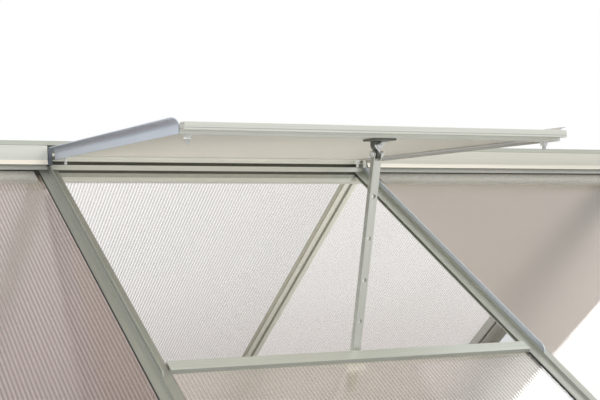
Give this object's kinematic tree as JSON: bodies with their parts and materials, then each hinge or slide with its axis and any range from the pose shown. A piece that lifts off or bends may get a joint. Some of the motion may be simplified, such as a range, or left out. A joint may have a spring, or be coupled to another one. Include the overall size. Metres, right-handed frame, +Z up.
{
  "type": "greenhouse roof section with hinged vent",
  "caption": "Gabled greenhouse roof section of slotted aluminium bars and twin-wall sheets, with a ridge-hinged vent held open by a perforated stay.",
  "frame": {"origin": "on the floor under the middle of the roof, level with the undersides of the eave rails", "axes": "+X along the ridge to the right as seen from the vent's side, +Y across the roof away from the vent, +Z up"},
  "size_m": [1.888, 1.9164, 0.6815],
  "materials": {
    "mill_aluminium": "extruded mill finish, slightly dull",
    "galvanised_sheet": "galvanised bent sheet, bluish",
    "dark_steel": "dark grey, satin",
    "zinc_fastener": "zinc plated",
    "twin_wall_sheet": "translucent twin-wall plastic, ribbed"
  },
  "bodies": {
    "roof": {"ridge_bar": "mill_aluminium", "ridge_cover_left": "mill_aluminium", "ridge_cover_right": "mill_aluminium", "ridge_cover_far": "mill_aluminium", "near_rafter_left": "mill_aluminium", "near_rafter_right": "mill_aluminium", "near_gable_rafter_left": "mill_aluminium", "near_gable_rafter_right": "mill_aluminium", "far_rafter_left": "mill_aluminium", "far_rafter_right": "mill_aluminium", "far_gable_rafter_left": "mill_aluminium", "far_gable_rafter_right": "mill_aluminium", "near_panel_left": "twin_wall_sheet", "near_panel_right": "twin_wall_sheet", "near_panel_lower": "twin_wall_sheet", "far_panel_left": "twin_wall_sheet", "far_panel_middle": "twin_wall_sheet", "far_panel_right": "twin_wall_sheet", "vent_sill": "mill_aluminium", "vent_upstand_left": "galvanised_sheet", "vent_upstand_right": "galvanised_sheet", "stay_peg": "zinc_fastener", "near_eave_rail": "mill_aluminium", "far_eave_rail": "mill_aluminium"},
    "sash": {"sash_hinge_rail": "mill_aluminium", "sash_front_rail": "mill_aluminium", "sash_left_skirt": "galvanised_sheet", "sash_right_skirt": "galvanised_sheet", "sash_panel": "twin_wall_sheet", "stay_bracket": "dark_steel"},
    "stay": {"stay_bar": "mill_aluminium", "stay_bolt": "zinc_fastener"}
  },
  "joints": [
    {"name": "vent_hinge", "type": "hinge", "parent": "roof", "child": "sash", "pos_m": [0, -0.024, 0.65046], "axis": [1, 0, 0], "range_deg": [0, 27.9]},
    {"name": "stay_pivot", "type": "hinge", "parent": "sash", "child": "stay", "pos_m": [0.006, -0.62742, 0.57948], "axis": [1, 0, 0], "range_deg": [0, 60]}
  ]
}
